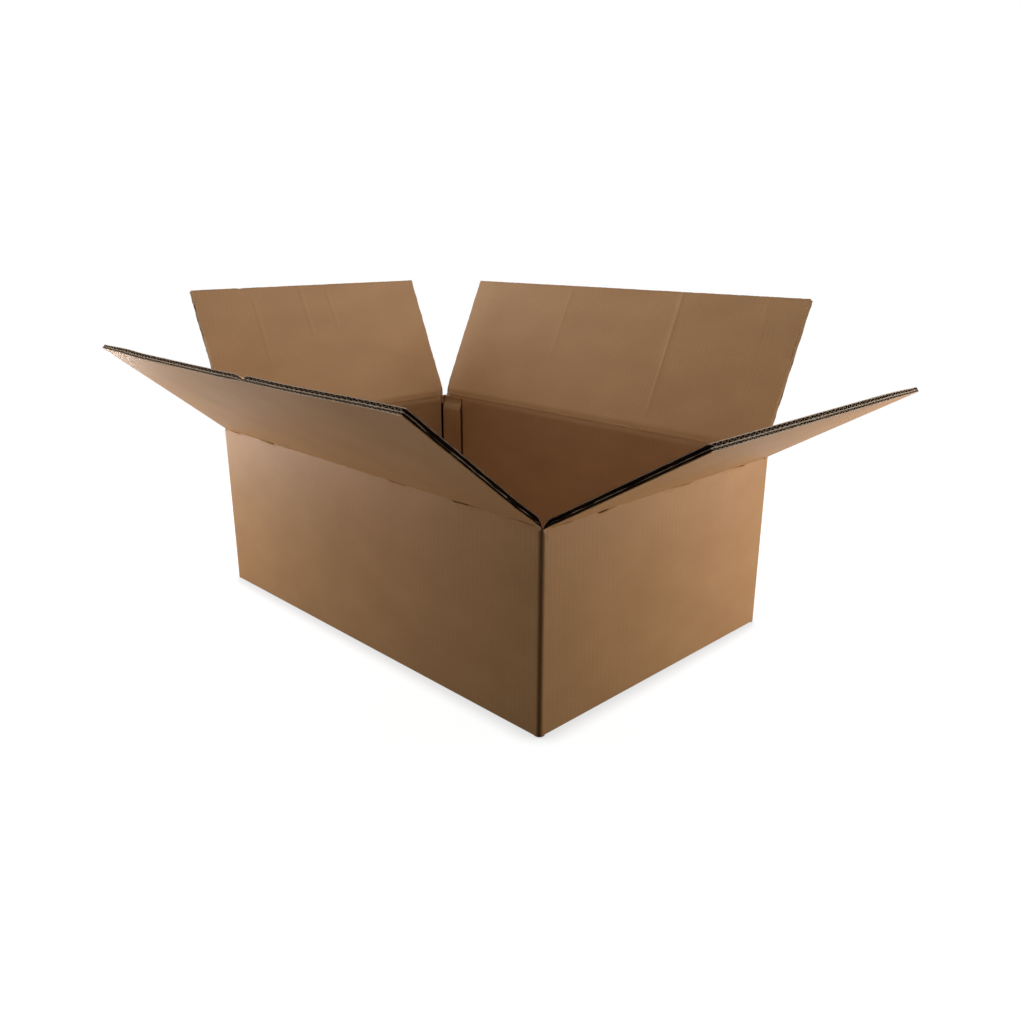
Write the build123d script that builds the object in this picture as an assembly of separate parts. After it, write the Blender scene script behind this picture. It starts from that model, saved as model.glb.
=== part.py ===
from build123d import *
import math
import os

# Open regular slotted carton of double-wall corrugated board, in millimetres.
# X runs along the long walls, Y along the short walls, +Z is up.
# The origin is the centre of the underside. The front long wall faces -Y.

# Carton sizes, measured outside
length = 590.0
width = 390.0
short_score_height = 213.5
flap_length = 190.5
bottom_flap_length = 190.5

# Board: three flat liners with a fluted paper between each pair, from the outside in
liner = 0.35
small_flute_height = 2.40
large_flute_height = 3.35
small_flute_pitch = 6.52
large_flute_pitch = 7.84
fluted_paper = 0.35
board = 3 * liner + small_flute_height + large_flute_height

# Folds
corner_outer_radius = 5.0
corner_inner_radius = 1.5
bottom_fold_radius = 3.5
bottom_fold_inner_radius = 1.0
short_foot_lift = 1.5
short_foot_radius = 2.0

# Slots between neighbouring flaps, and running clearances
side_clearance = 0.5
layer_gap = 0.4
score_gap = 0.3
closed_gap = 0.3
flap_meeting_gap = 0.4

# Crushed score of each pair of top flaps
long_axis_depth = board / 2
short_axis_depth = 0.0
closing_angle = 90.0
opening_angle = 150.0
opening_spare_angle = 2.0

# Rest angles of the open flaps, outwards from upright
front_rest_angle = 50.5
back_rest_angle = 25.5
right_rest_angle = 59.0
left_rest_angle = 23.0

# Glue tab that carries on from the left wall and is glued inside the back wall
tab_width = 44.0
tab_thickness = 5.0
tab_end_angle = 4.0
tab_end_gap = 0.6
seam_setback = 1.0

# Cut edges
flute_mouth_depth = 24.0
small_channel_depth = 1.6
large_channel_depth = 2.4
mouth_margin = 1.0

# Crushed spot on the free edge of the front flap
crushed_spot_place = 41.0
crushed_spot_width = 13.0
crushed_spot_depth = 2.6

# Worked out from the above
side_inset = board + side_clearance
long_panel_half = length / 2 - side_inset
short_panel_half = width / 2 - side_inset
long_score_height = short_score_height + closed_gap + board - long_axis_depth
minor_bottom = board + layer_gap
inner_floor = minor_bottom + board
fold_top = inner_floor + bottom_fold_inner_radius
overshoot = 20.0


def score_outline(axis_depth):
    """Points of a crushed score, as (depth from the outer face, distance from the axis)."""
    fold_wedge = math.radians((180.0 - opening_angle - opening_spare_angle) / 2)
    outer_run = axis_depth / math.tan(fold_wedge)
    inner_run = (board - axis_depth) * math.tan(math.radians(closing_angle / 2))
    points = [(axis_depth, score_gap), (board, score_gap + inner_run)]
    if axis_depth > 0:
        points.insert(0, (0.0, score_gap + outer_run))
    return points


def prism_across(points, half_span):
    """A prism of a (depth, height) outline, centred on X and as wide as the panel."""
    outline = Polyline(*[(0, depth, height) for depth, height in points], close=True)
    return extrude(make_face(outline), half_span, dir=(1, 0, 0), both=True)


def flute_mouths(half_span, pitch, floor, height):
    """Pockets either side of one zigzag fluted paper, open at the flap's free edge."""
    slope = math.atan2(height, pitch / 2)
    half_base = pitch / 2 - fluted_paper / 2 / math.sin(slope)
    rise = height - fluted_paper / 2 / math.cos(slope)
    usable = half_span - large_channel_depth - mouth_margin
    count = int((2 * usable - pitch) / (pitch / 2)) + 1
    start = -(count - 1) * pitch / 4
    pockets = []
    for index in range(count):
        middle = start + index * pitch / 2
        if index % 2:
            base_depth, tip_depth = floor + height, floor + height - rise
        else:
            base_depth, tip_depth = floor, floor + rise
        mouth = make_face(
            Polyline(
                (middle - half_base, base_depth, flap_length),
                (middle + half_base, base_depth, flap_length),
                (middle, tip_depth, flap_length),
                close=True,
            )
        )
        end = Vertex(middle, (base_depth + tip_depth) / 2, flap_length - flute_mouth_depth)
        pockets.append(loft([mouth, end]))
    return pockets


def edge_channels(half_span, first, last, small_floor, large_floor):
    """Flutes laid open along both side edges of a flap by the slot cuts."""
    channels = []
    rows = [
        (small_floor, small_flute_height, small_channel_depth),
        (large_floor, large_flute_height, large_channel_depth),
    ]
    for floor, height, depth in rows:
        for side in (-1, 1):
            channel = Box(2 * depth, height, last - first, align=(Align.CENTER, Align.MIN, Align.MIN))
            channels.append(Pos(side * half_span, floor, first) * channel)
    return channels


def upright_flap(half_span, axis_depth):
    """A top flap standing upright: hinge axis on X at depth axis_depth, outer face at Y = 0."""
    score = score_outline(axis_depth)
    flap = prism_across(score + [(board, flap_length), (0.0, flap_length)], half_span)
    small_floor = liner
    large_floor = 2 * liner + small_flute_height
    root_end = max(distance for depth, distance in score)
    cuts = flute_mouths(half_span, small_flute_pitch, small_floor, small_flute_height)
    cuts += flute_mouths(half_span, large_flute_pitch, large_floor, large_flute_height)
    cuts += edge_channels(half_span, root_end, flap_length, small_floor, large_floor)
    return flap.cut(*cuts)


def crushed_spot():
    """Shallow scoop where a knock has pressed in the inner liner of a free edge."""
    scoop = Cylinder(crushed_spot_width / 2, board, rotation=(90, 0, 0))
    shift = crushed_spot_width / 2 - crushed_spot_depth
    depth = 2 * liner + small_flute_height + board / 2
    return Pos(crushed_spot_place, depth, flap_length + shift) * scoop


def hang(flap, axis_depth, wall_distance, height, rest_angle, turn):
    """Opens an upright flap by its rest angle and sets it on its wall; turn is the wall's side."""
    opened = Rot(rest_angle, 0, 0) * Pos(0, -axis_depth, 0) * flap
    return Rot(0, 0, turn) * Pos(0, axis_depth - wall_distance, height) * opened


def wall_plan():
    """Walls and glue tab seen from above: one strip folded round and glued at the back left."""
    outer = Rectangle(length, width)
    rounded = [v for v in outer.vertices() if not (v.X < 0 and v.Y > 0)]
    outer = fillet(rounded, corner_outer_radius)
    inner = Rectangle(length - 2 * board, width - 2 * board)
    inner = fillet(inner.vertices(), corner_inner_radius)
    left = -length / 2
    seam = width / 2 - board
    setback = Pos(left, seam) * Rectangle(seam_setback, board, align=(Align.MIN, Align.MIN))
    waste = Pos(left, seam) * Rectangle(corner_outer_radius, corner_outer_radius, align=(Align.MIN, Align.MAX))
    waste -= Pos(left + corner_outer_radius, seam - corner_outer_radius) * Circle(corner_outer_radius)
    return outer - inner - setback - waste


def glue_tab():
    """The tab, with both ends cut at an angle, against the inside of the back wall."""
    low = inner_floor + tab_end_gap
    high = short_score_height - board - tab_end_gap
    drop = tab_width * math.tan(math.radians(tab_end_angle))
    corner = -length / 2 + board / 2
    tip = -length / 2 + board + tab_width
    outline = Polyline(
        (corner, 0, low), (tip, 0, low + drop), (tip, 0, high - drop), (corner, 0, high), close=True
    )
    tab = extrude(make_face(outline), tab_thickness, dir=(0, -1, 0))
    return Pos(0, width / 2 - board, 0) * tab


def wall_top_cut(half_span, axis_depth, height):
    """Everything above the crushed top of a wall, for the wall whose outer face is at Y = 0."""
    score = score_outline(axis_depth)
    outline = [(depth, height - distance) for depth, distance in score]
    first_depth, first_height = outline[0]
    last_depth, last_height = outline[-1]
    inner_end = (last_depth + 1, last_height - 1)
    ring = [(-1, first_height)] + outline
    if axis_depth > 0:
        slope = (outline[1][1] - first_height) / (outline[1][0] - first_depth)
        ring = [(-1, first_height - slope)] + outline
    ring += [inner_end, (inner_end[0], height + overshoot), (-1, height + overshoot)]
    return prism_across(ring, half_span)


def on_wall(shape, wall_distance, turn):
    """Moves a shape made for an outer face at Y = 0 to the wall on the given side."""
    return Rot(0, 0, turn) * Pos(0, -wall_distance, 0) * shape


def long_bottom_flap():
    """Foot of a long wall with its bottom flap, folded in flat; outer face at Y = 0."""
    reach = width / 2 - flap_meeting_gap / 2
    with BuildSketch(Plane.YZ) as section:
        with BuildLine():
            Polyline(
                (0, fold_top), (0, 0), (reach, 0), (reach, board), (board, board), (board, fold_top),
                close=True,
            )
        make_face()
        outer_corner = section.vertices().sort_by(lambda v: v.Y + v.Z)[0]
        fillet(outer_corner, bottom_fold_radius)
        inner_corner = section.vertices().sort_by(lambda v: abs(v.Y - board) + abs(v.Z - board))[0]
        fillet(inner_corner, bottom_fold_inner_radius)
    return extrude(section.sketch, long_panel_half, both=True)


def short_bottom_flap():
    """Foot of a short wall with its bottom flap, lying on the long ones; outer face at Y = 0."""
    with BuildSketch(Plane.YZ) as section:
        with BuildLine():
            Polyline(
                (0, fold_top), (0, short_foot_lift), (board, short_foot_lift), (board, minor_bottom),
                (bottom_flap_length, minor_bottom), (bottom_flap_length, inner_floor),
                (board, inner_floor), (board, fold_top),
                close=True,
            )
        make_face()
        foot_corner = section.vertices().sort_by(lambda v: v.Y + v.Z)[0]
        fillet(foot_corner, short_foot_radius)
    return extrude(section.sketch, short_panel_half, both=True)


def folded_body():
    """Walls, glue tab and closed bottom flaps: one folded and glued sheet."""
    top = long_score_height
    body = Pos(0, 0, short_foot_lift) * extrude(wall_plan(), top - short_foot_lift)
    body += glue_tab()

    corner_top = short_score_height - score_gap
    corner_cut = Box(2 * length, 2 * width, overshoot, align=(Align.CENTER, Align.CENTER, Align.MIN))
    keep = Box(length - 2 * board, 2 * width, overshoot, align=(Align.CENTER, Align.CENTER, Align.MIN))
    body -= Pos(0, 0, corner_top) * (corner_cut - keep)

    long_half = length / 2 - board
    short_half = width / 2 - board
    for turn in (0, 180):
        body -= on_wall(wall_top_cut(long_half, long_axis_depth, long_score_height), width / 2, turn)
        foot = Box(2 * long_panel_half, 2 * board, fold_top, align=(Align.CENTER, Align.CENTER, Align.MIN))
        body -= on_wall(foot, width / 2, turn)
    for turn in (90, 270):
        body -= on_wall(wall_top_cut(short_half, short_axis_depth, short_score_height), length / 2, turn)
        foot = Box(2 * short_panel_half, 2 * board, fold_top, align=(Align.CENTER, Align.CENTER, Align.MIN))
        body -= on_wall(foot, length / 2, turn)
    for turn in (0, 180):
        body += on_wall(long_bottom_flap(), width / 2, turn)
    for turn in (90, 270):
        body += on_wall(short_bottom_flap(), length / 2, turn)

    rows = [
        (liner, small_flute_height, small_channel_depth),
        (2 * liner + small_flute_height, large_flute_height, large_channel_depth),
    ]
    for floor, height, depth in rows:
        channel = Box(2 * depth, height, corner_top, align=(Align.CENTER, Align.MAX, Align.MIN))
        body -= Pos(seam_setback - length / 2, width / 2 - floor, 0) * channel
    return body


os.makedirs("parts", exist_ok=True)

long_flap = upright_flap(long_panel_half, long_axis_depth)
short_flap = upright_flap(short_panel_half, short_axis_depth)
dented_flap = long_flap - crushed_spot()

nodes = {
    "box_body": folded_body(),
    "front_flap": hang(dented_flap, long_axis_depth, width / 2, long_score_height, front_rest_angle, 0),
    "back_flap": hang(long_flap, long_axis_depth, width / 2, long_score_height, back_rest_angle, 180),
    "right_flap": hang(short_flap, short_axis_depth, length / 2, short_score_height, right_rest_angle, 90),
    "left_flap": hang(short_flap, short_axis_depth, length / 2, short_score_height, left_rest_angle, 270),
}
for name, shape in nodes.items():
    export_step(shape, f"parts/{name}.step")
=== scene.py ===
import math

import bmesh
import bpy
import numpy as np
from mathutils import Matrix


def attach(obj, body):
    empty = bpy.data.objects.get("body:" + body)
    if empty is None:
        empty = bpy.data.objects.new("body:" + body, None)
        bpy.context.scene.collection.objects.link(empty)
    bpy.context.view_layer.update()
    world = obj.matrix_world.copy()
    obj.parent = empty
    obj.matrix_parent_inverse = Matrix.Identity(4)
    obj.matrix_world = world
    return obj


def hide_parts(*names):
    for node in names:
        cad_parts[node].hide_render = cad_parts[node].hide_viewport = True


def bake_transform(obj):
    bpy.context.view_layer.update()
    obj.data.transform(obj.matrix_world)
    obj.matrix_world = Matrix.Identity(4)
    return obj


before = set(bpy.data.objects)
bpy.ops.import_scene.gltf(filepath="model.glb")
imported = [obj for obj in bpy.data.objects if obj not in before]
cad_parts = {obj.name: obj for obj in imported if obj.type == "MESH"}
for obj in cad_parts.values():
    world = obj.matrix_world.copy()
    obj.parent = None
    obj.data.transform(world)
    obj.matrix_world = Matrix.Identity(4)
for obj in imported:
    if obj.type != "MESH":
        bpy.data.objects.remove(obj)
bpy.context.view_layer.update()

# Lengths below are in millimetres until a mesh is made
MM = 0.001

# Carton, as in the frame
length = 590.0
width = 390.0
liner = 0.55
small_flute_height = 2.15
large_flute_height = 3.00
small_flute_pitch = 6.52
large_flute_pitch = 7.84
flute_paper = 0.36
board = 3 * liner + small_flute_height + large_flute_height
long_score_height = 217.2
short_score_height = 213.5
flap_length = 190.5
bottom_flap_length = 190.5
long_half = 287.7
short_half = 187.7
corner_top = 213.2
corner_outer_radius = 5.0
bottom_fold_radius = 3.5
bottom_fold_inner_radius = 1.0
short_foot_lift = 1.5
short_foot_radius = 2.0
minor_bottom = 7.2
inner_floor = 14.0
bottom_reach = 194.7
tab_width = 44.0
tab_thickness = 5.0
tab_low = 14.6
tab_high = 206.1
seam_setback = 1.0

# Part of each wall that is made in one piece with its top flap
wall_part = 13.9

# Depths of the three liners, from the outer face inwards
liner_depths = [0.0, liner + small_flute_height, 2 * liner + small_flute_height + large_flute_height]

# The two fluted papers: depth at which each gap between liners starts, height of the gap, and pitch
flute_layers = [
    (liner, small_flute_height, small_flute_pitch),
    (2 * liner + small_flute_height, large_flute_height, large_flute_pitch),
]

# How far the fluted papers stay behind an open side edge, small flutes and large, and behind a closed one
side_recess = (1.8, 2.8)
closed_recess = 0.9

# Kinds of surface
FACE = 0
CUT = 1
# Painted near-black as shade: the fluted papers and the faces that meet them, grooves, the tab's cut ends and
# hidden caps
FLUTE_PAINTED_SHADE = 2
DRAGGED = 3

# Edges sharper than these angles, in degrees, stay sharp
flap_sharp_angle = 50
body_sharp_angle = 35


# Shared shapes
def smooth_step(value):
    """0 below 0, 1 above 1, and a soft rise between."""
    clipped = np.clip(value, 0.0, 1.0)
    return clipped * clipped * (3 - 2 * clipped)


def between(value, first, last, ease):
    """1 between first and last and 0 outside, with a soft rise and fall just inside them."""
    return smooth_step((value - first) / ease) * smooth_step((last - value) / ease)


def wander(places, spacing, seed):
    """A smooth random line between about -1 and 1, with a random value every spacing."""
    places = np.asarray(places, float)
    local = np.random.default_rng(seed)
    count = 4000
    values = local.uniform(-1, 1, count)
    position = places / spacing + count / 2
    cell = np.floor(position).astype(int)
    share = smooth_step(position - cell)
    return values[cell % count] * (1 - share) + values[(cell + 1) % count] * share


def wander_2d(first, second, first_spacing, second_spacing, seed):
    """A smooth random field between about -1 and 1."""
    local = np.random.default_rng(seed)
    count = 512
    values = local.uniform(-1, 1, (count, count))
    first_position = first / first_spacing + count / 2
    second_position = second / second_spacing + count / 2
    row = np.floor(first_position).astype(int)
    column = np.floor(second_position).astype(int)
    down = smooth_step(first_position - row)
    across = smooth_step(second_position - column)

    def value(row_step, column_step):
        return values[(row + row_step) % count, (column + column_step) % count]

    low = value(0, 0) * (1 - down) + value(1, 0) * down
    high = value(0, 1) * (1 - down) + value(1, 1) * down
    return low * (1 - across) + high * across


def side_frame(turn, wall_distance):
    """A function that carries (along, inward, height) to the side of the box at this turn, in degrees."""
    cos_turn = math.cos(math.radians(turn))
    sin_turn = math.sin(math.radians(turn))

    def carry(along, inward, height):
        y = inward - wall_distance
        x_frame = along * cos_turn - y * sin_turn
        y_frame = along * sin_turn + y * cos_turn
        return np.stack([x_frame, y_frame, height + 0 * along], axis=-1)

    return carry


class Sheets:
    """Gathers grids of points into one mesh, with the board's own coordinates at each point."""

    def __init__(self):
        self.points = []
        self.sheet = []
        self.faces = []
        self.kinds = []
        self.count = 0

    def add(self, points, sheet, faces, kinds):
        self.points.append(points.reshape(-1, 3))
        self.sheet.append(sheet.reshape(-1, 3))
        self.faces += [[index + self.count for index in face] for face in faces]
        self.kinds += kinds
        self.count += points.reshape(-1, 3).shape[0]

    def object(self, name, materials, sharp_angle):
        """One object with smooth faces and sharp edges above the given angle."""
        points = np.concatenate(self.points) * MM
        sheet = np.concatenate(self.sheet).astype(np.float32)
        mesh = bpy.data.meshes.new(name)
        mesh.from_pydata(points.tolist(), [], self.faces)
        mesh.attributes.new("sheet", "FLOAT_VECTOR", "POINT")
        mesh.attributes["sheet"].data.foreach_set("vector", sheet.ravel())
        for material in materials:
            mesh.materials.append(material)
        mesh.polygons.foreach_set("material_index", np.array(self.kinds, np.int32))
        mesh.polygons.foreach_set("use_smooth", np.ones(len(self.kinds), bool))
        work = bmesh.new()
        work.from_mesh(mesh)
        bmesh.ops.recalc_face_normals(work, faces=work.faces)
        work.to_mesh(mesh)
        work.free()
        mesh.set_sharp_from_angle(angle=math.radians(sharp_angle))
        mesh.update()
        made = bpy.data.objects.new(name, mesh)
        bpy.context.scene.collection.objects.link(made)
        return made


def grid_faces(rows, columns, start=0):
    """Quads of a grid of points that are numbered row by row."""
    faces = []
    for row in range(rows - 1):
        row_start = start + row * columns
        for first in range(row_start, row_start + columns - 1):
            faces.append([first, first + 1, first + columns + 1, first + columns])
    return faces


def rim_faces(rim, size):
    """Quads between a rim of one layer and the same rim of the next layer, which is size points on."""
    return [[first, second, second + size, first + size] for first, second in zip(rim, rim[1:])]


def ring_faces(rings, count):
    """Quads between one closed ring of count points and the next."""
    faces = []
    for ring in range(rings - 1):
        base = ring * count
        for point in range(count):
            after = (point + 1) % count
            faces.append([base + point, base + after, base + count + after, base + count + point])
    return faces


def slab(sheets, place, along, up, low, high, kinds):
    """A closed sheet of paper. low and high are depths, one for each place along the crease.

    kinds are those of the low face, the high face, the first side, the last side and the ends.
    """
    columns = len(up)
    rows = len(along)
    grid_along, grid_up = np.meshgrid(along, up, indexing="ij")
    layers = []
    sheet = []
    for depth in (low, high):
        grid_depth = np.broadcast_to(np.asarray(depth, float).reshape(-1, 1), grid_along.shape)
        layers.append(place(grid_along, grid_up, grid_depth))
        sheet.append(np.stack([grid_along, grid_up, grid_depth], axis=-1))
    size = rows * columns
    low_face = grid_faces(rows, columns)
    high_face = grid_faces(rows, columns, size)
    faces = low_face + high_face
    kind_list = [kinds[0]] * len(low_face) + [kinds[1]] * len(high_face)
    first_side = list(range(columns))
    last_side = [(rows - 1) * columns + column for column in range(columns)]
    low_end = [row * columns for row in range(rows)]
    high_end = [row * columns + columns - 1 for row in range(rows)]
    rims = ((first_side, kinds[2]), (last_side, kinds[3]), (low_end, kinds[4]), (high_end, kinds[4]))
    for rim, kind in rims:
        faces += rim_faces(rim, size)
        kind_list += [kind] * (len(rim) - 1)
    sheets.add(np.stack(layers), np.stack(sheet), faces, kind_list)


# Top flaps
# Score line: how far its crush reaches from the crease and from the flap's sides, and how deep it goes
crush_reach = 9.0
crush_more_at_sides = 3.0
crush_side_run = 12.0
crush_power = 1.2
crush_everywhere = 0.16

# Half of the run over which the board bends at the crease
bend_half = 0.9

# Flare of a side edge next to the crease
flare_width = 20.0
flare_power = 1.3

# Ease of both ends of a press line
press_ease = 12.0

# Wrinkles at the crease: spacing along it and up from it, reach, and strength from patch to patch
wrinkle_spacing = 7.0
wrinkle_spacing_up = 2.2
wrinkle_reach = 3.2
wrinkle_least = 0.08
wrinkle_more = 0.34
wrinkle_patch = 45.0
wrinkle_contrast = 0.9
wrinkle_loss_inside = 0.6

# Cracks in the outer liner: depth they reach, ease of their ends, the groove and the lip below it
crack_depth = 1.5
crack_ease = 7.0
groove_depth = 1.5
groove_half = 0.5
lip_height = 0.5
lip_half = 1.2
lip_below = 1.7

# Wandering of the pinched fold, and how far from the crease it carries the board along
fold_wander = 0.55
fold_spacing = 30.0
fold_reach = 6.0
fold_fade = 5.0

# How far a knock on the free edge reaches up the flap
dent_reach = 9.0


class TopFlap:
    """Where a top flap hangs, how far it is open, and the marks on it."""

    def __init__(self, name, turn, wall_distance, axis_depth, axis_height, angle, half_span, seed):
        self.name = name
        self.to_frame = side_frame(turn, wall_distance)
        self.axis_depth = axis_depth
        self.axis_height = axis_height
        self.angle = math.radians(angle)
        self.half_span = half_span
        self.seed = seed
        # Values by side, -1 for the one at low along and 1 for the other
        self.flare = {-1: 0.0, 1: 0.0}
        self.flare_run = {-1: 38.0, 1: 38.0}
        self.flare_from = -3.9
        self.pinch = {-1: 0.72, 1: 0.72}
        self.closed_side = 0
        # Each press line: centre, half width, depth, slant, first and last row
        self.presses = []
        # Each sag: first and last place along, ease, amount, power up the flap
        self.sags = []
        # Each crack: first and last place along, how far the fold leaves the crease at each, strength
        self.cracks = []
        # Each knock: centre, half width at its two sides, how far the edge moves back, share of depth lost
        self.dents = []

    def crushed(self, along, up):
        """How much of the board's thickness the score has taken, from 0 to 1."""
        end = smooth_step(1 - (self.half_span - np.abs(along)) / crush_side_run)
        away = np.abs(up) / (crush_reach + crush_more_at_sides * end)
        soft = 1 - smooth_step(away)
        straight = np.clip(1 - away, 0, 1) ** crush_power
        most = crush_everywhere + np.where(along > 0, self.pinch[1], self.pinch[-1]) * end
        return most * (soft * (1 - end) + straight * end)

    def spread(self, along, up):
        """Carries the side edges of the flap out towards the box corner at the crease."""
        most = np.where(along > 0, self.flare[1], self.flare[-1])
        run = np.where(along > 0, self.flare_run[1], self.flare_run[-1])
        flare = most * np.clip(1 - np.abs(up) / run, 0, 1) ** flare_power
        share = smooth_step(1 - (self.half_span - np.abs(along)) / flare_width)
        return along + np.sign(along) * flare * share * (up > self.flare_from)

    def offset(self, along, up, depth):
        """Small moves square to the flap: its bow, press marks, and the wrinkles and cracks at the crease."""
        away = np.clip(up / flap_length, 0, 1)
        move = np.zeros_like(along)
        for first, last, ease, amount, power in self.sags:
            move -= amount * between(along, first, last, ease) * away**power
        inner = depth / board
        for centre, half, amount, slant, first, last in self.presses:
            line = centre + slant * up
            groove = np.exp(-(((along - line) / half) ** 2))
            move += amount * inner * groove * between(up, first, last, press_ease)
        wrinkle = wander_2d(along, up, wrinkle_spacing, wrinkle_spacing_up, self.seed)
        wrinkle = wrinkle * np.exp(-((up / wrinkle_reach) ** 2))
        patch = smooth_step(0.5 + wrinkle_contrast * wander(along, wrinkle_patch, self.seed + 1))
        move += wrinkle * (wrinkle_least + wrinkle_more * patch) * (1 - wrinkle_loss_inside * inner)
        outer = np.clip(1 - depth / crack_depth, 0, 1)
        for first, last, fold_first, fold_last, strength in self.cracks:
            groove = np.exp(-((up / groove_half) ** 2))
            lip = np.exp(-(((up + lip_below) / lip_half) ** 2))
            shape = groove_depth * groove - lip_height * lip
            move += strength * between(along, first, last, crack_ease) * outer * shape
        return move

    def crack_line(self, along):
        """How far the pinched fold of the outer liner leaves the crease, along the crease."""
        line = fold_wander * wander(along, fold_spacing, self.seed + 2)
        for first, last, fold_first, fold_last, strength in self.cracks:
            share = np.clip((along - first) / (last - first), 0, 1)
            fold = fold_first + (fold_last - fold_first) * share
            line = line + between(along, first, last, crack_ease) * fold
        return line

    def crushed_spots(self, along, up, depth):
        """Knocks on the free edge: how far a point moves back from it, and how much thinner it gets."""
        back = np.zeros_like(along)
        thin = np.zeros_like(along)
        for centre, left_half, right_half, far, share in self.dents:
            half = np.where(along < centre, left_half, right_half)
            near = np.exp(-(((along - centre) / half) ** 2))
            near = near * smooth_step(1 - (flap_length - up) / dent_reach)
            back += far * near * depth / board
            thin += share * near
        return back, thin

    def place(self, along, up, depth):
        """Frame position of a point given along the crease, up the flutes from it, and in depth."""
        edge_hold = smooth_step((up + wall_part) / fold_fade) * np.exp(-((up / fold_reach) ** 2))
        back, thin = self.crushed_spots(along, up, depth)
        row = up + self.crack_line(along) * edge_hold - back
        thinner = depth * (1 - self.crushed(along, up)) * (1 - thin)
        tangent = math.tan(self.angle / 2)
        shift = (thinner - self.axis_depth) * tangent
        wall_up = np.minimum(row, -bend_half)
        wall_in = thinner - self.axis_depth
        wall_height = shift + wall_up * (wall_part + shift) / wall_part
        flap_up = np.maximum(row, bend_half)
        reach = -shift + flap_up * (flap_length + shift) / flap_length
        cos_angle = math.cos(self.angle)
        sin_angle = math.sin(self.angle)
        flap_in = -reach * sin_angle + wall_in * cos_angle
        flap_height = reach * cos_angle + wall_in * sin_angle
        share = np.clip((row + bend_half) / (2 * bend_half), 0, 1)
        first = (1 - share) ** 2
        middle = 2 * share * (1 - share)
        last = share**2
        inward = first * wall_in + middle * wall_in + last * flap_in
        height = first * wall_height + middle * shift + last * flap_height
        move = self.offset(along, up, depth)
        inward = inward + move * ((1 - share) + share * cos_angle)
        height = height + move * share * sin_angle
        return self.to_frame(self.spread(along, up), inward + self.axis_depth, height + self.axis_height)


# Rows of the liners: steps from the crease, even rows over the flap, and steps from the free edge
crease_steps = [0.3, 0.7, 1.2, 1.8, 2.5, 3.2, 4.0, 5.0, 6.5, 8.5, 11.0]
wider_steps = [14.0, 18.0, 24.0]
even_from = 27.0
even_to = flap_length - 5.0
even_rows = 38
liner_end_steps = [3.0, 1.4, 0.5, 0.0]

# Rows of the fluted papers, which stop just inside the free edge
flute_steps = [-8.5, -5.0, 0.0, 1.8, 4.0, 6.5, 8.5, 11.0, 14.0, 24.0, 80.0, 135.0]
flute_end_steps = [5.0, 1.4, 0.25]

# Columns of the liners: steps from a side edge, and even spacing, which is wider in the middle liner
side_steps = [0.0, 0.4, 1.2]
even_from_side = 2.0
liner_spacing = 3.4
middle_spacing = 10.0

# Closer columns across the press lines
press_margin = 5.0
press_spacing = 1.3

# Points along one flute
points_a_flute = 7

# Uneven cut edges: how far in they reach, then how far and how closely each line of them wanders
ragged_reach = 1.2
fine_side = 0.3
fine_side_spacing = 1.7
coarse_side = 0.45
coarse_side_spacing = 11.0
middle_liner_back = 2.2
middle_liner_spacing = 14.0
middle_liner_share = 0.7
fine_free = 0.22
fine_free_spacing = 2.1

# Swelling of the cut edges: how far in it reaches, how much it adds, and how closely it wanders
side_swell = 1.1
side_swell_reach = 1.6
side_swell_spacing = 5.0
free_swell = 0.6
free_swell_reach = 1.8
free_swell_spacing = 6.0
free_swell_least = 0.4

# The liner dragged over a closed side: first row, its two faces measured from the side edge, and its waves
dragged_from = 1.8
dragged_inner = 0.55
dragged_outer = 0.15
dragged_rows = 7
dragged_wave = 0.12
dragged_spacing_up = 4.0
dragged_spacing_in = 1.6

# Added to a flap's seed for its separate random lines
fine_side_seed = 31
fine_free_seed = 41
coarse_side_seed = 51
middle_liner_seed = 55
dragged_seed = 61
side_swell_seed = 71
free_swell_seed = 73

# Length at each side of the crease over which a piece would bend when its flap turns; no bend is made from it
hinge_run = 5.5


def flap_rows():
    """Rows from the wall part over the crease to the free edge, close together at the crease."""
    wall = [-wall_part] + [-step for step in reversed(crease_steps)]
    even = list(np.linspace(even_from, even_to, even_rows))
    end = [flap_length - step for step in liner_end_steps]
    return np.array(wall + [0.0] + crease_steps + wider_steps + even + end)


def flute_rows():
    """Rows of the fluted papers, from the wall part to just inside the free edge."""
    return np.array([-wall_part] + flute_steps + [flap_length - step for step in flute_end_steps])


def liner_columns(flap, spacing):
    """Places along the crease for a liner, close together at its sides."""
    steps = int(round(2 * flap.half_span / spacing))
    inside = np.linspace(-flap.half_span + even_from_side, flap.half_span - even_from_side, steps)
    first = [-flap.half_span + step for step in side_steps]
    last = [flap.half_span - step for step in reversed(side_steps)]
    return np.array(first + list(inside) + last)


def press_columns(flap):
    """Places close together across each press line of the flap, over all of its slant."""
    columns = []
    for centre, half, amount, slant, first, last in flap.presses:
        stop = centre + slant * flap_length + press_margin
        columns.append(np.arange(centre - press_margin, stop, press_spacing))
    return columns


def ragged(flap, along, up, layer):
    """Uneven cut edges of one liner: a small move of its last points along and up."""
    side = smooth_step(1 - (flap.half_span - np.abs(along)) / ragged_reach)
    free = smooth_step(1 - (flap_length - up) / ragged_reach)
    side_line = fine_side * wander(up, fine_side_spacing, flap.seed + fine_side_seed + layer)
    coarse_line = wander(up, coarse_side_spacing, flap.seed + coarse_side_seed + layer)
    side_line = side_line + coarse_side * coarse_line
    if layer == 1:
        patch = wander(up, middle_liner_spacing, flap.seed + middle_liner_seed)
        side_line = side_line - middle_liner_back * smooth_step(middle_liner_share + patch)
    side_move = side_line * side * np.sign(along)
    free_move = fine_free * wander(along, fine_free_spacing, flap.seed + fine_free_seed + layer) * free
    return along + side_move, up + free_move


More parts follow.
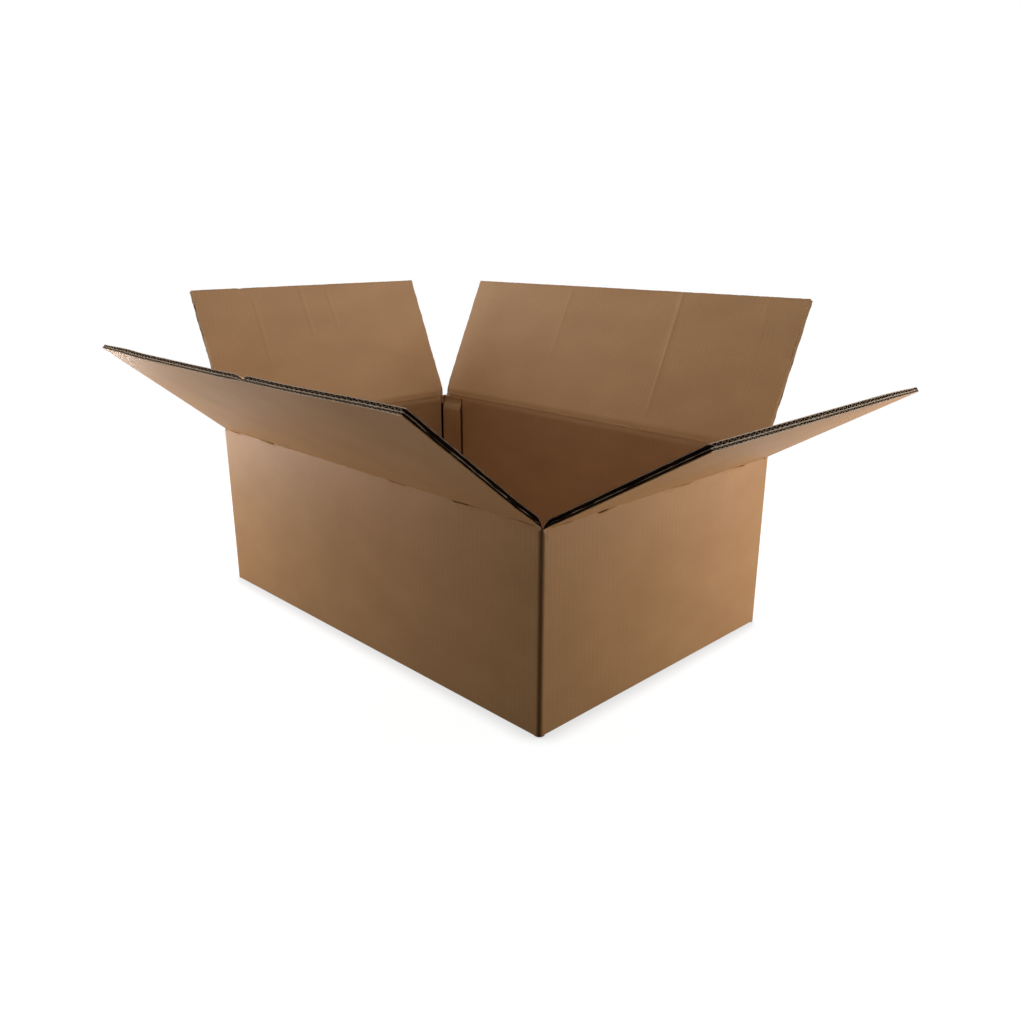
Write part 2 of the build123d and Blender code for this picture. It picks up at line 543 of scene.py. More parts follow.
def frayed(flap, along, up, depth, middle):
    """Depth in one liner, with its cut edges swollen by the knife, but not at a closed side."""
    side = smooth_step(1 - (flap.half_span - np.abs(along)) / side_swell_reach)
    free = smooth_step(1 - (flap_length - up) / free_swell_reach)
    side_share = 0.5 + 0.5 * wander(up, side_swell_spacing, flap.seed + side_swell_seed)
    side_share = side_share * (np.sign(along) != flap.closed_side)
    free_wander = wander(along, free_swell_spacing, flap.seed + free_swell_seed)
    free_share = (1 + free_swell_least) / 2 + (1 - free_swell_least) / 2 * free_wander
    swell = np.maximum(side_swell * side * side_share, free_swell * free * free_share)
    return middle + (depth - middle) * (1 + swell)


def close_side(sheets, flap, rows):
    """The liner that the slot knife dragged over the open flutes of a closed side."""
    if not flap.closed_side:
        return
    up = rows[rows >= dragged_from]
    depth = np.linspace(liner / 2, board - liner / 2, dragged_rows)
    grid_depth, grid_up = np.meshgrid(depth, up, indexing="ij")
    wave = dragged_wave * wander_2d(
        grid_up, grid_depth, dragged_spacing_up, dragged_spacing_in, flap.seed + dragged_seed
    )
    layers = []
    marks = []
    for inside in (dragged_inner, dragged_outer):
        grid_along = flap.closed_side * (flap.half_span - inside + wave)
        layers.append(flap.place(grid_along, grid_up, grid_depth))
        marks.append(np.stack([grid_along, grid_up, grid_depth], axis=-1))
    size = grid_up.size
    columns = len(up)
    faces = grid_faces(dragged_rows, columns) + grid_faces(dragged_rows, columns, size)
    faces += rim_faces(range(0, size, columns), size)
    faces += rim_faces(range(columns - 1, size, columns), size)
    faces += rim_faces(range(columns), size)
    faces += rim_faces(range(size - columns, size), size)
    sheets.add(np.stack(layers), np.stack(marks), faces, [DRAGGED] * len(faces))


def make_flap(flap, materials):
    """Three liners and two fluted papers, from the top of the wall over the crease to the free edge."""
    sheets = Sheets()
    rows = flap_rows()
    outer_columns = liner_columns(flap, liner_spacing)
    middle_columns = liner_columns(flap, middle_spacing)
    inner_columns = np.unique(np.concatenate([outer_columns, *press_columns(flap)]))
    all_columns = (outer_columns, middle_columns, inner_columns)
    # Faces that meet the fluted papers, and the fluted papers, are painted dark as shade
    all_faces = ((FACE, FLUTE_PAINTED_SHADE), (FLUTE_PAINTED_SHADE, FLUTE_PAINTED_SHADE), (FLUTE_PAINTED_SHADE, FACE))
    for layer, (depth, columns, faces) in enumerate(zip(liner_depths, all_columns, all_faces)):
        def place(along, up, sheet_depth, layer=layer, middle=depth + liner / 2):
            moved_along, moved_up = ragged(flap, along, up, layer)
            return flap.place(moved_along, moved_up, frayed(flap, along, up, sheet_depth, middle))
        open_side = FACE if layer == 0 else CUT
        sides = [DRAGGED if flap.closed_side == sign else open_side for sign in (-1, 1)]
        low = np.full(len(columns), depth)
        slab(sheets, place, columns, rows, low, low + liner, (*faces, *sides, CUT))
    for (floor, height, pitch), recess in zip(flute_layers, side_recess):
        start = -flap.half_span + (closed_recess if flap.closed_side == -1 else recess)
        stop = flap.half_span - (closed_recess if flap.closed_side == 1 else recess)
        along = np.linspace(start, stop, int((stop - start) / pitch * points_a_flute))
        phase = 2 * math.pi * along / pitch + flap.seed
        swing = (height - flute_paper) / 2
        slope = np.cos(phase) * swing * 2 * math.pi / pitch
        middle = floor + height / 2 + swing * np.sin(phase)
        half = flute_paper / 2 * np.sqrt(1 + slope**2)
        low = np.clip(middle - half, floor, None)
        high = np.clip(middle + half, None, floor + height)
        slab(sheets, flap.place, along, flute_rows(), low, high, (FLUTE_PAINTED_SHADE, FLUTE_PAINTED_SHADE, FLUTE_PAINTED_SHADE, FLUTE_PAINTED_SHADE, CUT))
    close_side(sheets, flap, rows)
    return sheets.object(flap.name + "_board", materials, flap_sharp_angle)


def blend_over_crease(flap, piece):
    """Works out where the piece would start and end its bend over the crease, which nothing uses, and bakes
    the piece's transform into its mesh.
    """
    mid = np.zeros(1)
    bend_height = flap.axis_height - flap.axis_depth * math.tan(flap.angle / 2)
    start = flap.to_frame(mid, mid, mid + bend_height - hinge_run)[0]
    end_height = bend_height + hinge_run * math.cos(flap.angle)
    end = flap.to_frame(mid, mid - hinge_run * math.sin(flap.angle), mid + end_height)[0]
    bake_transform(piece)


# Folded body
# Stations along the walls, and steps round and up a corner
long_stations = 13
short_stations = 9
corner_steps = 12

# How far one point of a corner's outline is from the next along the sheet, outside and inside
outer_mark_step = 0.8
inner_mark_step = 2.0

# Cut end of the back wall at the seam: rows of its liners, stride of its flutes over them, and its edge
seam_rows = 60
seam_flute_stride = 6
seam_steps = [0.0, 2.0, 4.0]
seam_end_step = 0.5
seam_flute_recess = 0.8
seam_flute_points = 12
seam_ragged = 0.3
seam_ragged_from = 0.2
seam_ragged_spacing = 3.0
seam_seed = 77

# Up the glue tab: height and share of its thickness; it thins to its liner below the closed left flap
tab_levels = [
    (tab_low, 1.0),
    (60.0, 1.0),
    (120.0, 1.0),
    (180.0, 1.0),
    (192.0, 1.0),
    (197.0, 0.86),
    (202.0, 0.44),
    (tab_high, 0.1),
    (long_score_height - 4.0, 0.1),
]
# Level from which the strip at the tab's cut end is painted dark as shade
tab_slope_level = 4

# Across the glue tab: the groove where it leaves the left wall, and its cut end; the groove and a strip at
# the cut end are painted dark as shade
groove_gap = 0.4
groove_width = 2.2
groove_share = 0.4
tab_end_steps = [(1.6, 1.0), (0.2, 1.0), (0.0, 0.9)]

# The paper of the tab starts this far on, so that the painted shade line of a corner doesn't lie on it
tab_paper_shift = 30.0


def arc(centre, radius, first, last, steps=6):
    """Points of an arc, by its first and last angle in degrees."""
    angles = np.radians(np.linspace(first, last, steps + 1))
    return [(centre[0] + radius * math.cos(angle), centre[1] + radius * math.sin(angle)) for angle in angles]


def face_kinds(outer, inner):
    """Kinds round an outline of outer and inner points: paper faces joined by two cut ends."""
    kinds = [FACE] * (len(outer) + len(inner))
    kinds[len(outer) - 1] = CUT
    kinds[-1] = CUT
    return kinds


def walls(sheets, outer, inner, turns, wall_distance, half, steps, score_height):
    """Two facing walls with their bottom flaps, swept along their length.

    outer and inner are the points of the board's two faces, each as inward distance and height.
    """
    outline = np.array(outer + inner, float)
    inward = outline[:, 0]
    height = outline[:, 1]
    depths = np.array([0.0] * len(outer) + [board] * len(inner))
    rise = np.where(height > inner_floor, height, -inward) - score_height
    count = len(outline)
    faces = ring_faces(steps, count)
    faces.append(list(range(count))[::-1])
    faces.append([(steps - 1) * count + point for point in range(count)])
    kinds = face_kinds(outer, inner) * (steps - 1) + [CUT, CUT]
    for turn in turns:
        to_frame = side_frame(turn, wall_distance)
        rings = []
        marks = []
        for station in np.linspace(-half, half, steps):
            along = np.full(count, station)
            rings.append(to_frame(along, inward, height))
            marks.append(np.stack([along, rise, depths], axis=-1))
        sheets.add(np.stack(rings), np.stack(marks), faces, kinds)


def make_body(materials):
    """Walls, corners, glue tab and folded bottom of the carton."""
    sheets = Sheets()
    long_cut = long_score_height - wall_part
    outer = [(0, long_cut)] + arc((bottom_fold_radius, bottom_fold_radius), bottom_fold_radius, 180, 270)
    outer += [(bottom_reach, 0)]
    fold_centre = (board + bottom_fold_inner_radius, board + bottom_fold_inner_radius)
    inner = [(bottom_reach, board)] + arc(fold_centre, bottom_fold_inner_radius, 270, 180)
    inner += [(board, long_cut)]
    walls(sheets, outer, inner, (0, 180), width / 2, long_half, long_stations, long_score_height)

    short_cut = short_score_height - wall_part
    foot_centre = (short_foot_radius, short_foot_lift + short_foot_radius)
    outer = [(0, short_cut)] + arc(foot_centre, short_foot_radius, 180, 270)
    outer += [(board, short_foot_lift), (board, minor_bottom), (bottom_flap_length, minor_bottom)]
    fold_centre = (board + bottom_fold_inner_radius, inner_floor + bottom_fold_inner_radius)
    inner = [(bottom_flap_length, inner_floor)] + arc(fold_centre, bottom_fold_inner_radius, 270, 180)
    inner += [(board, short_cut)]
    walls(sheets, outer, inner, (90, 270), length / 2, short_half, short_stations, short_score_height)

    make_corners(sheets)
    seam_end(sheets)
    make_tab(sheets)
    return sheets.object("carton_board", materials, body_sharp_angle)


def upright(sheets, plan, marks, kinds):
    """A closed plan outline raised to a corner of the box; marks give (along, depth) at each point."""
    count = len(plan)
    heights = np.linspace(short_foot_lift, corner_top, corner_steps + 1)
    points = np.array([[(x, y, z) for x, y in plan] for z in heights])
    sheet = np.array([[(along, z - short_score_height, depth) for along, depth in marks] for z in heights])
    faces = ring_faces(corner_steps + 1, count)
    faces.append(list(range(count)))
    faces.append([corner_steps * count + point for point in range(count)])
    # The top cap is painted dark as shade
    sheets.add(points, sheet, faces, kinds * corner_steps + [CUT, FLUTE_PAINTED_SHADE])


def make_corners(sheets):
    """The four folded vertical corners, each a bent strip between two walls."""
    round_centre = (length / 2 - corner_outer_radius, width / 2 - corner_outer_radius)
    outer = [(long_half, width / 2)] + arc(round_centre, corner_outer_radius, 90, 0, corner_steps)
    outer += [(length / 2, short_half)]
    inner_x = length / 2 - board
    inner_y = width / 2 - board
    inner = [(inner_x, short_half), (inner_x, inner_y), (long_half, inner_y)]
    marks = [(long_half + outer_mark_step * index, 0.0) for index in range(len(outer))]
    marks += [(long_half + inner_mark_step * index, board) for index in range(len(inner))]
    for sign_x, sign_y in ((1, -1), (1, 1), (-1, -1)):
        plan = [(sign_x * x, sign_y * y) for x, y in outer + inner]
        upright(sheets, plan, marks, face_kinds(outer, inner))

    seam = width / 2 - board
    left = -length / 2
    round_centre = (left + corner_outer_radius, seam - corner_outer_radius)
    plan = [(left, short_half - board)] + arc(round_centre, corner_outer_radius, 180, 90, corner_steps)
    marks = [(long_half + outer_mark_step * index, 0.0) for index in range(len(plan))]
    plan += [(left + board, seam), (left + board, short_half - board)]
    marks += [(long_half, board)] * 2
    upright(sheets, plan, marks, [FACE] * len(plan))


def seam_end(sheets):
    """Cut end of the back wall at the glued corner, with its liners and open flutes."""
    start = long_half
    stop = length / 2 - seam_setback
    carry = side_frame(180, width / 2)
    heights = np.linspace(short_foot_lift, corner_top, seam_rows)

    def place(along, up, depth):
        edge = along > stop - seam_ragged_from
        return carry(along + seam_ragged * wander(up, seam_ragged_spacing, seam_seed) * edge, depth, up)

    along = np.array([start + step for step in seam_steps] + [stop - seam_end_step, stop])
    for depth in liner_depths:
        low = np.full(len(along), depth)
        # The liners' top and bottom ends, and the flutes, are painted dark as shade
        slab(sheets, place, along, heights, low, low + liner, (FACE, FACE, CUT, CUT, FLUTE_PAINTED_SHADE))
    run = np.linspace(start, stop - seam_flute_recess, seam_flute_points)
    for floor, height, pitch in flute_layers:
        swing = (height - flute_paper) / 2
        middle = floor + height / 2 + swing * np.sin(2 * math.pi * run / pitch)
        low = middle - flute_paper / 2
        kinds = (FLUTE_PAINTED_SHADE, FLUTE_PAINTED_SHADE, CUT, CUT, CUT)
        slab(sheets, place, run, heights[::seam_flute_stride], low, low + flute_paper, kinds)


def make_tab(sheets):
    """Glue tab against the inside of the back wall, with a scored groove where it leaves the left wall.

    Its top slopes to its crushed liner just below the closed left flap, and the liner goes on to the crease.
    """
    wall_face = -length / 2 + board
    groove = wall_face + groove_gap
    tip = wall_face + tab_width
    back = width / 2 - board
    stations = [(-length / 2 + board / 2, groove_share), (groove, groove_share), (groove + groove_width, 1.0)]
    stations += [(tip - step, share) for step, share in tab_end_steps]
    groove_station = 1
    end_station = 3
    levels = len(tab_levels)
    points = []
    sheet = []
    for x, share in stations:
        for side in (0, 1):
            for height, thickness in tab_levels:
                points.append((x, back - share * tab_thickness * thickness * side, height))
                sheet.append((x + tab_paper_shift, height - short_score_height, board))

    def corner(station, side, level):
        return (station * 2 + side) * levels + level

    faces = []
    kinds = []
    last = len(stations) - 1
    for level in range(levels - 1):
        for station in range(last):
            # The groove, and the strip at the cut end from the slope up, are painted dark as shade
            dark = station == groove_station or (station == end_station and level >= tab_slope_level)
            for side in (0, 1):
                ring = [corner(station, side, level), corner(station + 1, side, level)]
                ring += [corner(station + 1, side, level + 1), corner(station, side, level + 1)]
                faces.append(ring)
                kinds.append(FLUTE_PAINTED_SHADE if dark else FACE)
        # The tab's two end faces are painted dark as shade
        for station in (0, last):
            ring = [corner(station, 0, level), corner(station, 1, level)]
            ring += [corner(station, 1, level + 1), corner(station, 0, level + 1)]
            faces.append(ring)
            kinds.append(FLUTE_PAINTED_SHADE)
    for level in (0, levels - 1):
        for station in range(last):
            ring = [corner(station, 0, level), corner(station + 1, 0, level)]
            ring += [corner(station + 1, 1, level), corner(station, 1, level)]
            faces.append(ring)
            kinds.append(FACE)
    sheets.add(np.array(points), np.array(sheet), faces, kinds)


# Materials
# Scale of each noise along the crease, up the flutes and through the board
cloud_scale = (0.012, 0.02, 0.3)
fibre_scale = (0.16, 1.9, 0.7)
grain_scale = (1.4, 1.4, 1.4)
flute_warp_scale = (0.02, 0.004, 0.2)
flute_patch_scale = (0.02, 0.012, 0.2)
rub_line_scale = (0.09, 0.9, 0.2)

# Paper: its two tones, its dark specks and its roughness
cloud_share = 0.55
fibre_share = 0.45
tone_from = 0.32
tone_to = 0.68
speck_from = 0.62
speck_to = 0.78
speck_strength = 0.35
specular = 0.1
bump_strength = 0.4
fibre_bump = 0.35
grain_bump = 0.08

# Where the inner tones start, as a share of the board, and where the inner walls inside the box take a
# painted tint, slightly darker and cooler, against the warm light bounced inside the box
inner_from = 0.4
inner_to = 0.6
walls_below = -8.0
flaps_above = 4.0

# Depth from the free edge over which open flutes are paler, where their painted shade gives way
mouth_depth = 1.6

# Faint lines of the small flutes under the liners, as bumps and as painted shade of their ripple
flute_warp = 3.0
flute_least = 0.4
flute_shade = 0.09
flute_bump = 0.15

# Painted shade line at the fold of a vertical corner: its distance along the wall, and how it fades from the
# middle outwards
corner_shade_centre = 293.2
corner_shade_full_to = 0.7
corner_shade_clear_from = 4.2
corner_shade_strength = 0.56

# Dark line at the crease, partly rubbed wear and partly painted shade: its wave, its reach on the outer face
# and how much more it reaches on the inner face, as painted shade
rub_wave = 2.2
rub_and_shade_strength = 0.14
rub_and_shade_reach = 2.0
shade_more_inside = 3.0


def node(tree, kind, inputs=None, **settings):
    """A shader node with its settings and inputs; an input that is a socket is linked."""
    made = tree.nodes.new(kind)
    for key, value in settings.items():
        setattr(made, key, value)
    for key, value in (inputs or {}).items():
        if isinstance(value, bpy.types.NodeSocket):
            tree.links.new(value, made.inputs[key])
        else:
            made.inputs[key].default_value = value
    return made


def math_node(tree, operation, first, second=None, third=None):
    """The output of a Math node."""
    inputs = {0: first}
    if second is not None:
        inputs[1] = second
    if third is not None:
        inputs[2] = third
    return node(tree, "ShaderNodeMath", inputs, operation=operation).outputs[0]


def mix_colours(tree, factor, first, second, blend_type="MIX"):
    """The colour output of a Mix node."""
    inputs = {0: factor, 6: first, 7: second}
    return node(tree, "ShaderNodeMix", inputs, data_type="RGBA", blend_type=blend_type).outputs[2]


def noise(tree, vector, scale, detail=2.0, rough=0.5):
    """The value output of a Noise node, with its own scale along each axis of the vector."""
    scaled = node(tree, "ShaderNodeMapping", {"Vector": vector, "Scale": scale}).outputs[0]
    inputs = {"Vector": scaled, "Scale": 1.0, "Detail": detail, "Roughness": rough}
    return node(tree, "ShaderNodeTexNoise", inputs).outputs[0]


def spread_value(tree, value, low, high, to_low, to_high):
    """A Map Range of the value."""
    inputs = {0: value, 1: low, 2: high, 3: to_low, 4: to_high}
    return node(tree, "ShaderNodeMapRange", inputs).outputs[0]


def darker(colour, red, green, blue):
    """The colour with its three parts scaled."""
    return (colour[0] * red, colour[1] * green, colour[2] * blue, 1)


def new_material(name):
    """An empty material and its node tree."""
    material = bpy.data.materials.new(name)
    material.use_nodes = True
    material.node_tree.nodes.clear()
    return material, material.node_tree


def seen_directly(tree):
    """1 for rays that show a surface to the camera, also in a mirror or through glass, and 0 for light."""
    path = node(tree, "ShaderNodeLightPath")
    seen = math_node(tree, "MAXIMUM", path.outputs["Is Camera Ray"], path.outputs["Is Glossy Ray"])
    return math_node(tree, "MAXIMUM", seen, path.outputs["Is Transmission Ray"])


def flute_lines(tree, sheet, along, colour, height, dark):
    """Adds the faint lines of the small flutes to a bump height, and paints the shade of their ripple into a
    colour.
    """
    warp = math_node(tree, "MULTIPLY", noise(tree, sheet, flute_warp_scale), flute_warp)
    turn = math_node(tree, "MULTIPLY_ADD", along, 2 * math.pi / small_flute_pitch, warp)
    wave = math_node(tree, "SINE", turn)
    patch = spread_value(tree, noise(tree, sheet, flute_patch_scale), 0.3, 0.7, flute_least, 1.0)
    wave = math_node(tree, "MULTIPLY", wave, patch)
    shade = spread_value(tree, wave, -1.0, 1.0, 0.0, flute_shade)
    colour = mix_colours(tree, shade, colour, darker(dark, 0.6, 0.55, 0.5))
    return colour, math_node(tree, "MULTIPLY_ADD", wave, flute_bump, height)


def corner_painted_shade(tree, along, inside, colour, dark):
    """Paints shade on the outer face along the fold of a vertical corner."""
    distance = math_node(tree, "SUBTRACT", math_node(tree, "ABSOLUTE", along), corner_shade_centre)
    distance = math_node(tree, "ABSOLUTE", distance)
    outside = math_node(tree, "SUBTRACT", 1.0, inside)
    fold = spread_value(tree, distance, corner_shade_full_to, corner_shade_clear_from, corner_shade_strength, 0.0)
    fold = math_node(tree, "MULTIPLY", fold, outside)
    return mix_colours(tree, fold, colour, darker(dark, 0.42, 0.34, 0.3))


def crease_rub_and_shade(tree, sheet, up, inside, colour, dark):
    """Darkens a wavy line along the crease, partly as rubbed wear and partly as painted shade, which reaches
    wider on the inner face.
    """
    ripple = math_node(tree, "MULTIPLY", noise(tree, sheet, rub_line_scale), rub_wave)
    centred = math_node(tree, "SUBTRACT", ripple, rub_wave / 2)
    distance = math_node(tree, "ABSOLUTE", math_node(tree, "ADD", up, centred))
    reach = math_node(tree, "MULTIPLY_ADD", inside, shade_more_inside, rub_and_shade_reach)
    rub_and_shade = spread_value(tree, distance, 0.0, reach, rub_and_shade_strength, 0.0)
    return mix_colours(tree, rub_and_shade, colour, darker(dark, 0.62, 0.55, 0.5))


def kraft(name, light, dark, roughness, bump_depth, inner=None, mouth=None):
    """Brown paper with blotches, fibres and specks.

    inner gives a liner its two inner tones and the painted tint that scales them on the inner walls, and with
    it the lines of the flutes with their painted shade, and the painted shade and rubbed wear at the folds.
    mouth is the lighter colour of open flutes next to the free edge, where their painted shade gives way.
    """
    material, tree = new_material(name)
    sheet = node(tree, "ShaderNodeAttribute", attribute_name="sheet").outputs["Vector"]
    along, up, depth = node(tree, "ShaderNodeSeparateXYZ", {0: sheet}).outputs
    cloud = noise(tree, sheet, cloud_scale, 3.0)
    fibre = noise(tree, sheet, fibre_scale, 3.0, 0.6)
    grain = noise(tree, sheet, grain_scale, 2.0, 0.6)
    cloud_part = math_node(tree, "MULTIPLY", cloud, cloud_share)
    tone = math_node(tree, "ADD", cloud_part, math_node(tree, "MULTIPLY", fibre, fibre_share))
    tone = spread_value(tree, tone, tone_from, tone_to, 0.0, 1.0)
    colour = mix_colours(tree, tone, dark, light)
    if inner:
        inside = spread_value(tree, depth, board * inner_from, board * inner_to, 0.0, 1.0)
        lining = mix_colours(tree, tone, inner[0], inner[1])
        # Painted tint on the inner walls below the crease, against the warm light bounced inside the box
        inner_wall_tint_share = spread_value(tree, up, walls_below, flaps_above, 1.0, 0.0)
        lining = mix_colours(tree, inner_wall_tint_share, lining, inner[2], "MULTIPLY")
        colour = mix_colours(tree, inside, colour, lining)
    if mouth:
        # Open flutes lighter next to the free edge, where the painted shade of the fluted paper gives way
        open_end = spread_value(tree, up, flap_length - mouth_depth, flap_length, 0.0, 1.0)
        colour = mix_colours(tree, open_end, colour, mouth)
    speck = spread_value(tree, grain, speck_from, speck_to, 0.0, speck_strength)
    colour = mix_colours(tree, speck, colour, darker(dark, 0.55, 0.5, 0.45))
    fibre_part = math_node(tree, "MULTIPLY", fibre, fibre_bump)
    height = math_node(tree, "ADD", fibre_part, math_node(tree, "MULTIPLY", grain, grain_bump))
    if inner:
        colour, height = flute_lines(tree, sheet, along, colour, height, dark)
        # Painted shade line along each vertical corner
        colour = corner_painted_shade(tree, along, inside, colour, dark)
        # Crease line: partly rubbed wear, partly painted shade
        colour = crease_rub_and_shade(tree, sheet, up, inside, colour, dark)
    bump = node(tree, "ShaderNodeBump", {"Height": height, "Strength": bump_strength, "Distance": bump_depth})
    shine = spread_value(tree, fibre, 0.3, 0.7, roughness - 0.06, roughness + 0.08)
    inputs = {"Base Color": colour, "Roughness": shine, "Normal": bump.outputs[0]}
    inputs["Specular IOR Level"] = specular
    shader = node(tree, "ShaderNodeBsdfPrincipled", inputs)
    node(tree, "ShaderNodeOutputMaterial", {"Surface": shader.outputs[0]})
    return material


def floor_material():
    """White floor that takes the shadow of the carton, with a painted contact shadow close under it, and
    fades into the white background.
    """
    material, tree = new_material("white_floor")
    seen = seen_directly(tree)
    paint = node(tree, "ShaderNodeBsdfDiffuse", {"Color": (floor_paint, floor_paint, floor_paint, 1)})
    # Painted contact shadow: the glow seen by the camera is lowered where ambient occlusion finds the carton
    # close by
    contact = node(tree, "ShaderNodeAmbientOcclusion", {"Distance": contact_reach}, samples=12)
    glow_with_painted_shadow = spread_value(tree, contact.outputs["AO"], contact_low, contact_high, painted_shadow_glow, floor_glow)
    glow = node(tree, "ShaderNodeEmission", {"Strength": math_node(tree, "MULTIPLY", seen, glow_with_painted_shadow)})
    near = node(tree, "ShaderNodeAddShader", {0: paint.outputs[0], 1: glow.outputs[0]})
    white = node(tree, "ShaderNodeEmission", {"Strength": 1.0})
    far = node(tree, "ShaderNodeMixShader", {0: seen, 1: paint.outputs[0], 2: white.outputs[0]})
    place = node(tree, "ShaderNodeNewGeometry").outputs["Position"]
    distance = node(tree, "ShaderNodeVectorMath", {0: place}, operation="LENGTH").outputs["Value"]
    share = spread_value(tree, distance, fade_start, fade_end, 0.0, 1.0)
    both = node(tree, "ShaderNodeMixShader", {0: share, 1: near.outputs[0], 2: far.outputs[0]})
    node(tree, "ShaderNodeOutputMaterial", {"Surface": both.outputs[0]})
    return material


# Camera, in metres, degrees and pixels of the photograph
camera_place = (0.80777, -0.73962, 0.46614)
camera_yaw = 45.726
camera_pitch = -17.826
focal_pixels = 886.02
picture_size = 1020.0
principal_x = 506.22
principal_y = 516.90
sensor = 36.0

camera_data = bpy.data.cameras.new("camera")
camera_data.sensor_width = sensor
camera_data.lens = focal_pixels / picture_size * sensor
camera_data.shift_x = (picture_size / 2 - principal_x) / picture_size
camera_data.shift_y = (principal_y - picture_size / 2) / picture_size
camera_data.clip_start = 0.02
camera_data.clip_end = 60.0
camera = bpy.data.objects.new("camera", camera_data)
camera.location = camera_place
camera.rotation_euler = (math.radians(90 + camera_pitch), 0.0, math.radians(camera_yaw))
bpy.context.scene.collection.objects.link(camera)
bpy.context.scene.camera = camera

# Floor, in metres: its paint, what it adds for the camera, less of it close under the carton as a painted
# contact shadow, and its fade
floor_half = 12.0
floor_paint = 0.16
floor_glow = 0.97
painted_shadow_glow = 0.73
contact_reach = 0.023
contact_low = 0.54
contact_high = 0.97
fade_start = 0.6
fade_end = 1.1

floor_corners = [(x * floor_half, y * floor_half, 0) for x, y in ((-1, -1), (1, -1), (1, 1), (-1, 1))]
floor_mesh = bpy.data.meshes.new("floor")
floor_mesh.from_pydata(floor_corners, [], [[0, 1, 2, 3]])
floor = bpy.data.objects.new("floor", floor_mesh)
floor_mesh.materials.append(floor_material())
bpy.context.scene.collection.objects.link(floor)


def softbox(name, place, target, size, power):
    """A large soft white lamp that faces the target; metres and watts."""
    data = bpy.data.lights.new(name, "AREA")
    data.shape = "RECTANGLE"
    data.size, data.size_y = size
    data.energy = power
    made = bpy.data.objects.new(name, data)
    made.location = place
    made.visible_camera = False
    direction = np.array(target) - np.array(place)
    tilt = math.atan2(math.hypot(direction[0], direction[1]), -direction[2])
    heading = math.atan2(direction[1], direction[0]) - math.pi / 2
    made.rotation_euler = (tilt, 0, heading)
    bpy.context.scene.collection.objects.link(made)


# Lamps, all but three of them large and turned to the middle of the carton
middle = (0, 0, 0.15)
large = (1.0, 1.0)
low = (0.6, 0.25)
softbox("lamp_left", (-1.2, 0.1, 0.6), middle, large, 12.5)
softbox("lamp_front_left", (-0.75, -1.2, 0.35), (-0.2, -0.2, 0.1), (0.6, 0.6), 2.9)
softbox("lamp_near_left", (-0.8, -0.5, 0.15), (-0.1, -0.25, 0.25), low, 4.6)
softbox("lamp_low_right", (0.8, 0.45, 0.15), (0.35, 0, 0.25), low, 4.0)
softbox("lamp_top", (0, 0, 2.0), middle, large, 15.5)
softbox("lamp_back", (0, 1.3, 1.5), middle, large, 19.5)
softbox("lamp_back_left", (-0.9, 0.6, 1.4), middle, large, 2.5)

# World: white where it is seen, and nearly dark as a light
world_light = 0.005
world = bpy.data.worlds.new("studio")
bpy.context.scene.world = world
world.use_nodes = True
world_tree = world.node_tree
world_tree.nodes.clear()
world_strength = spread_value(world_tree, seen_directly(world_tree), 0.0, 1.0, world_light, 1.0)
world_shader = node(world_tree, "ShaderNodeBackground", {"Color": (1, 1, 1, 1), "Strength": world_strength})
node(world_tree, "ShaderNodeOutputWorld", {"Surface": world_shader.outputs[0]})
bpy.context.scene.view_settings.view_transform = "Standard"

# Papers, each from a light and a dark tone
# The third inner tone is the painted tint of the inner walls against the warm bounced light
inner_tones = [(0.425, 0.247, 0.121, 1), (0.50, 0.300, 0.153, 1), (0.93, 0.97, 1.03, 1)]
liner_light = (0.50, 0.272, 0.116, 1)
liner_dark = (0.42, 0.214, 0.086, 1)
liner_paper = kraft(
    "kraft_liner", liner_light, liner_dark, roughness=0.52, bump_depth=0.00025, inner=inner_tones
)
cut_light = (0.74, 0.57, 0.42, 1)
cut_dark = (0.50, 0.37, 0.26, 1)
cut_paper = kraft("cut_paper", cut_light, cut_dark, roughness=0.9, bump_depth=0.0004)
# Fluted paper painted near-black as the shade in its hollows; the mouth colour is lighter, where that painted
# shade gives way at the free edge
fluted_painted_shade_light = (0.085, 0.045, 0.024, 1)
fluted_painted_shade_dark = (0.05, 0.027, 0.015, 1)
fluted_mouth = (0.24, 0.15, 0.09, 1)
fluted_paper_painted_shade = kraft(
    "fluted_paper_painted_shade", fluted_painted_shade_light, fluted_painted_shade_dark, roughness=0.95, bump_depth=0.0003, mouth=fluted_mouth
)
dragged_light = (0.27, 0.150, 0.066, 1)
dragged_dark = (0.22, 0.115, 0.048, 1)
dragged_paper = kraft("dragged_paper", dragged_light, dragged_dark, roughness=0.7, bump_depth=0.0003)
papers = [liner_paper, cut_paper, fluted_paper_painted_shade, dragged_paper]

# The four flaps: side of the box, fixed axis of the crease, opening in degrees from upright
long_crease = {"wall_distance": width / 2, "axis_depth": board / 2, "axis_height": long_score_height}
short_crease = {"wall_distance": length / 2, "axis_depth": 0.0, "axis_height": short_score_height}
front = TopFlap("front_flap", turn=0, angle=50.5, half_span=long_half, seed=3, **long_crease)
back = TopFlap("back_flap", turn=180, angle=25.5, half_span=long_half, seed=17, **long_crease)
right = TopFlap("right_flap", turn=90, angle=59.0, half_span=short_half, seed=29, **short_crease)
left = TopFlap("left_flap", turn=270, angle=23.0, half_span=short_half, seed=43, **short_crease)

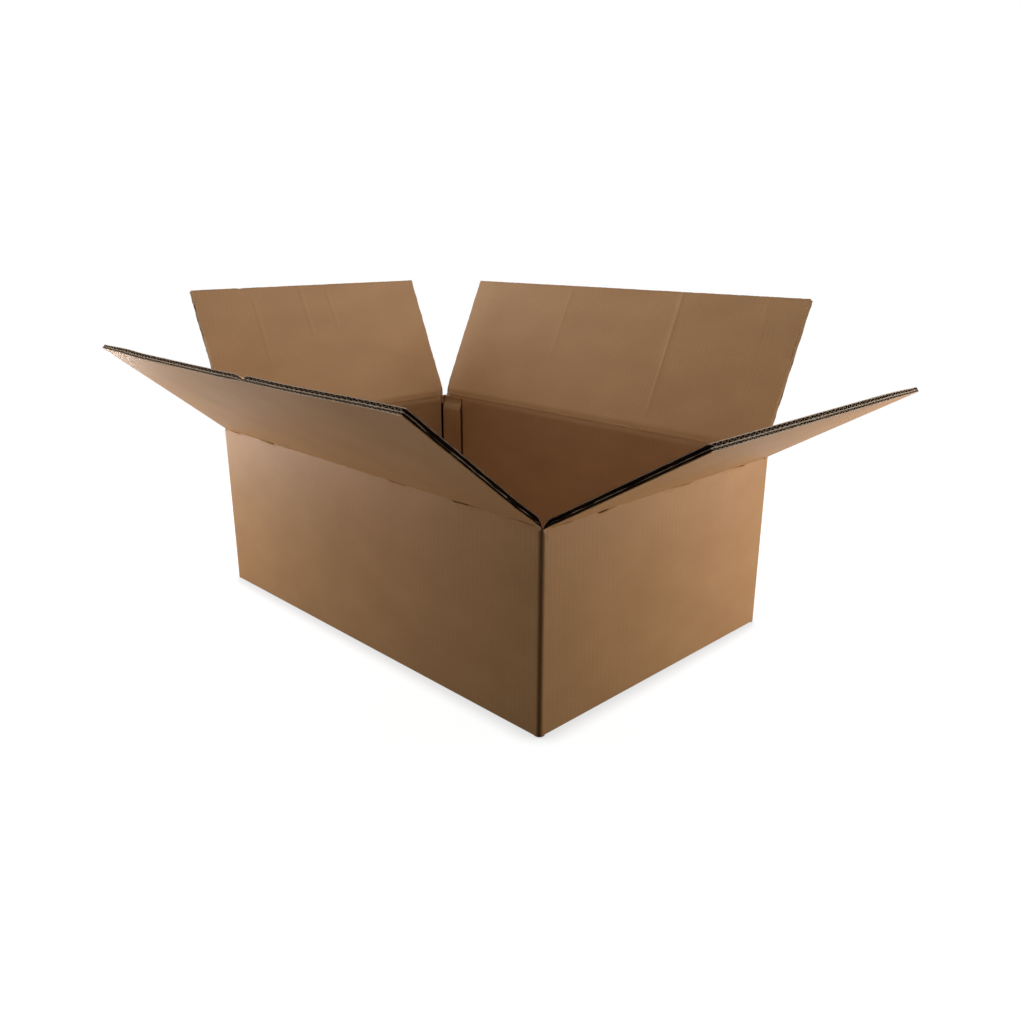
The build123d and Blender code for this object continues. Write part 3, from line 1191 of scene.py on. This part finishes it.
# Their side edges: flare and pinch at the crease, and the sides closed by the knife
front.flare = {-1: 0.8, 1: 6.0}
back.flare = {-1: 0.8, 1: -3.6}
back.flare_run[1] = 160.0
right.flare = {-1: 5.6, 1: 0.8}
left.flare = {-1: 0.8, 1: 0.8}
back.pinch[1] = 0.3
left.pinch[-1] = 0.4
front.closed_side = -1
left.closed_side = 1
back.closed_side = -1
right.closed_side = 1

# Their bows, knocks, cracks and press lines
front.sags = [(-350, 270, 170, 2.2, 1.5), (-230, 60, 60, 1.0, 5.0)]
front.dents = [(45, 9.0, 2.6, 2.6, 0.42), (-290, 20, 45, 0.3, 0.26)]
right.dents = [(190, 45, 20, 0.3, 0.24)]
left.dents = [(118, 5.0, 2.5, 0.5, 0.08)]
front.cracks = [
    (-286, -245, 0.4, -1.2, 0.6),
    (-204, -160, 0.6, -0.8, 0.8),
    (60, 104, 0.4, -1.4, 0.6),
    (170, 218, -2.0, 1.0, 1.0),
    (226, 250, -0.8, 0.2, 0.6),
    (258, 286, 0.4, 0.2, 1.0),
]
right.cracks = [
    (-184, -150, 0.6, -0.8, 0.7),
    (-122, -84, -1.4, 1.0, 0.9),
    (-8, 40, 0.4, -2.0, 0.6),
    (96, 146, 1.2, -1.4, 0.9),
]
back.cracks = [(-210, -150, 0.5, -0.8, 0.7), (30, 96, -0.8, 0.8, 0.5)]
left.cracks = [(-130, -70, 0.5, -0.8, 0.6), (60, 120, -0.6, 0.9, 0.7)]
back.presses = [
    (-112, 3.4, 0.52, 0.02, 18, 196),
    (88, 3.0, 0.32, -0.012, 70, 196),
    (-242, 3.0, 0.32, 0.03, 120, 196),
]
left.presses = [
    (101, 2.8, 0.30, 0.0, 70, 180),
    (17, 2.8, 0.32, 0.03, 110, 196),
    (-31, 2.8, 0.32, 0.05, 110, 185),
]

# Carton
body = make_body(papers)
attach(body, "carton")
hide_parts("box_body")
for flap in (front, back, right, left):
    piece = make_flap(flap, papers)
    blend_over_crease(flap, piece)
    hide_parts(flap.name)
